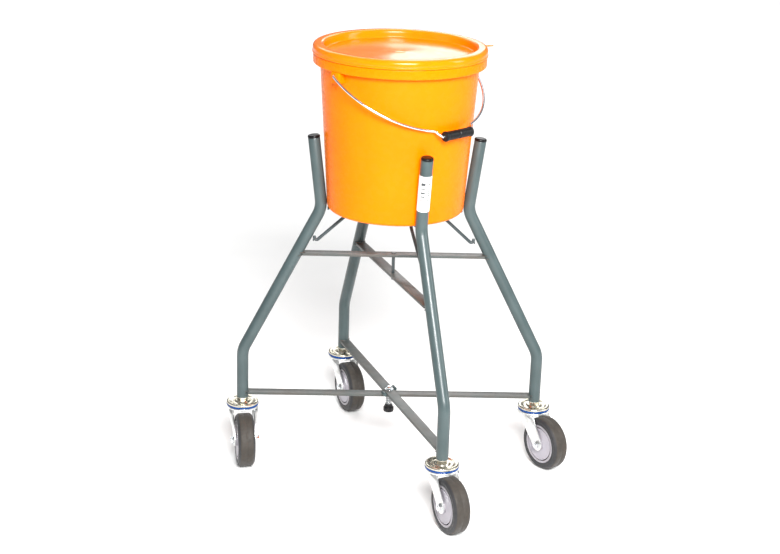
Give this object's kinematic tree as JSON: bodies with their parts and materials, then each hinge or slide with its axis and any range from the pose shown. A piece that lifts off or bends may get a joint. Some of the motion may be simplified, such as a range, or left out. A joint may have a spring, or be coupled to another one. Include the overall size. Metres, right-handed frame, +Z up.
{
  "type": "wash bucket on a folding caster stand",
  "caption": "Lidded orange pail with a wire bail, seated in a folding cross stand of bent steel tubes on swivel casters.",
  "frame": {"origin": "on the floor, on the vertical axis about which the two tube frames fold", "axes": "+Z up, +X towards the leg at the right, +Y away from the user"},
  "size_m": [0.6466, 0.6471, 0.8035],
  "materials": {
    "frame_paint": "satin grey-green enamel",
    "tie_paint": "satin grey-green enamel",
    "rod_paint": "satin grey-green enamel",
    "cap_plastic": "black moulded plastic",
    "head_zinc": "bright zinc plate",
    "seal_plastic": "blue moulded plastic",
    "fork_zinc": "bright zinc plate",
    "bolt_zinc": "bright zinc plate",
    "spring_steel": "zinc-plated spring wire",
    "tyre_rubber": "dark grey rubber",
    "hub_plastic": "light grey moulded plastic",
    "guard_plastic": "light grey moulded plastic",
    "knob_plastic": "black moulded plastic",
    "label_vinyl": "white printed sticker",
    "pail_plastic": "orange moulded plastic",
    "lid_plastic": "orange moulded plastic",
    "tab_plastic": "orange moulded plastic",
    "bail_wire": "bright zinc wire",
    "grip_plastic": "black moulded plastic"
  },
  "bodies": {
    "frame_side": {"tube_left": "frame_paint", "tube_right": "frame_paint", "cap_left": "cap_plastic", "cap_right": "cap_plastic", "rest_left": "rod_paint", "rest_right": "rod_paint", "tie_upper_side": "tie_paint", "tie_lower_side": "tie_paint", "stop_lugs": "frame_paint", "pivot_pin": "rod_paint", "pivot_bolt": "bolt_zinc", "pivot_washer": "bolt_zinc", "pivot_spring": "spring_steel", "head_left": "head_zinc", "head_right": "head_zinc", "seal_left": "seal_plastic", "seal_right": "seal_plastic"},
    "frame_cross": {"tube_front": "frame_paint", "tube_back": "frame_paint", "cap_front": "cap_plastic", "cap_back": "cap_plastic", "rest_front": "rod_paint", "rest_back": "rod_paint", "tie_upper_cross": "tie_paint", "tie_lower_cross": "tie_paint", "label_sleeve": "label_vinyl", "head_front": "head_zinc", "head_back": "head_zinc", "seal_front": "seal_plastic", "seal_back": "seal_plastic"},
    "knob": {"pivot_knob": "knob_plastic"},
    "swivel_left": {"fork_left": "fork_zinc", "axle_left": "bolt_zinc"},
    "wheel_left": {"tyre_left": "tyre_rubber", "hub_left": "hub_plastic", "guards_left": "guard_plastic"},
    "swivel_right": {"fork_right": "fork_zinc", "axle_right": "bolt_zinc"},
    "wheel_right": {"tyre_right": "tyre_rubber", "hub_right": "hub_plastic", "guards_right": "guard_plastic"},
    "swivel_front": {"fork_front": "fork_zinc", "axle_front": "bolt_zinc"},
    "wheel_front": {"tyre_front": "tyre_rubber", "hub_front": "hub_plastic", "guards_front": "guard_plastic"},
    "swivel_back": {"fork_back": "fork_zinc", "axle_back": "bolt_zinc"},
    "wheel_back": {"tyre_back": "tyre_rubber", "hub_back": "hub_plastic", "guards_back": "guard_plastic"},
    "pail": {"pail": "pail_plastic"},
    "lid": {"lid": "lid_plastic", "pull_tab": "tab_plastic"},
    "bail": {"bail": "bail_wire"},
    "grip": {"grip": "grip_plastic"}
  },
  "joints": [
    {"name": "frame_fold", "type": "hinge", "parent": "frame_side", "child": "frame_cross", "pos_m": [0, 0, 0.1372], "axis": [0, 0, 1], "range_deg": [0, 50]},
    {"name": "knob_turn", "type": "hinge", "parent": "frame_side", "child": "knob", "pos_m": [0, 0, 0.103], "axis": [0, 0, 1], "range_deg": [-180, 180]},
    {"name": "caster_swivel_left", "type": "hinge", "parent": "frame_side", "child": "swivel_left", "pos_m": [-0.278, 0, 0.104], "axis": [0, 0, 1], "continuous": true},
    {"name": "wheel_spin_left", "type": "hinge", "parent": "swivel_left", "child": "wheel_left", "pos_m": [-0.27174, -0.03951, 0.05], "axis": [0.9877, 0.1564, 0], "continuous": true},
    {"name": "caster_swivel_right", "type": "hinge", "parent": "frame_side", "child": "swivel_right", "pos_m": [0.278, 0, 0.104], "axis": [0, 0, 1], "continuous": true},
    {"name": "wheel_spin_right", "type": "hinge", "parent": "swivel_right", "child": "wheel_right", "pos_m": [0.29979, -0.03355, 0.05], "axis": [0.8387, 0.5446, 0], "continuous": true},
    {"name": "caster_swivel_front", "type": "hinge", "parent": "frame_cross", "child": "swivel_front", "pos_m": [0.08498, -0.26469, 0.104], "axis": [0, 0, 1], "continuous": true},
    {"name": "wheel_spin_front", "type": "hinge", "parent": "swivel_front", "child": "wheel_front", "pos_m": [0.10061, -0.30151, 0.05], "axis": [0.9205, 0.3907, 0], "continuous": true},
    {"name": "caster_swivel_back", "type": "hinge", "parent": "frame_cross", "child": "swivel_back", "pos_m": [-0.08498, 0.26469, 0.104], "axis": [0, 0, 1], "continuous": true},
    {"name": "wheel_spin_back", "type": "hinge", "parent": "swivel_back", "child": "wheel_back", "pos_m": [-0.07065, 0.22735, 0.05], "axis": [0.9336, 0.3584, 0], "continuous": true},
    {"name": "pail_lift", "type": "slide", "parent": "frame_side", "child": "pail", "axis": [0, 0, 1], "range_m": [0, 0.2]},
    {"name": "lid_lift", "type": "slide", "parent": "pail", "child": "lid", "axis": [0, 0, 1], "range_m": [0, 0.08]},
    {"name": "bail_swing", "type": "hinge", "parent": "pail", "child": "bail", "pos_m": [0, 0, 0.7655], "axis": [-0.7431, -0.6691, 0], "range_deg": [0, 246], "deforming": ["pull_tab"]},
    {"name": "grip_turn", "type": "hinge", "parent": "bail", "child": "grip", "pos_m": [0.09961, -0.11063, 0.66883], "axis": [-0.7431, -0.6691, 0], "continuous": true}
  ]
}
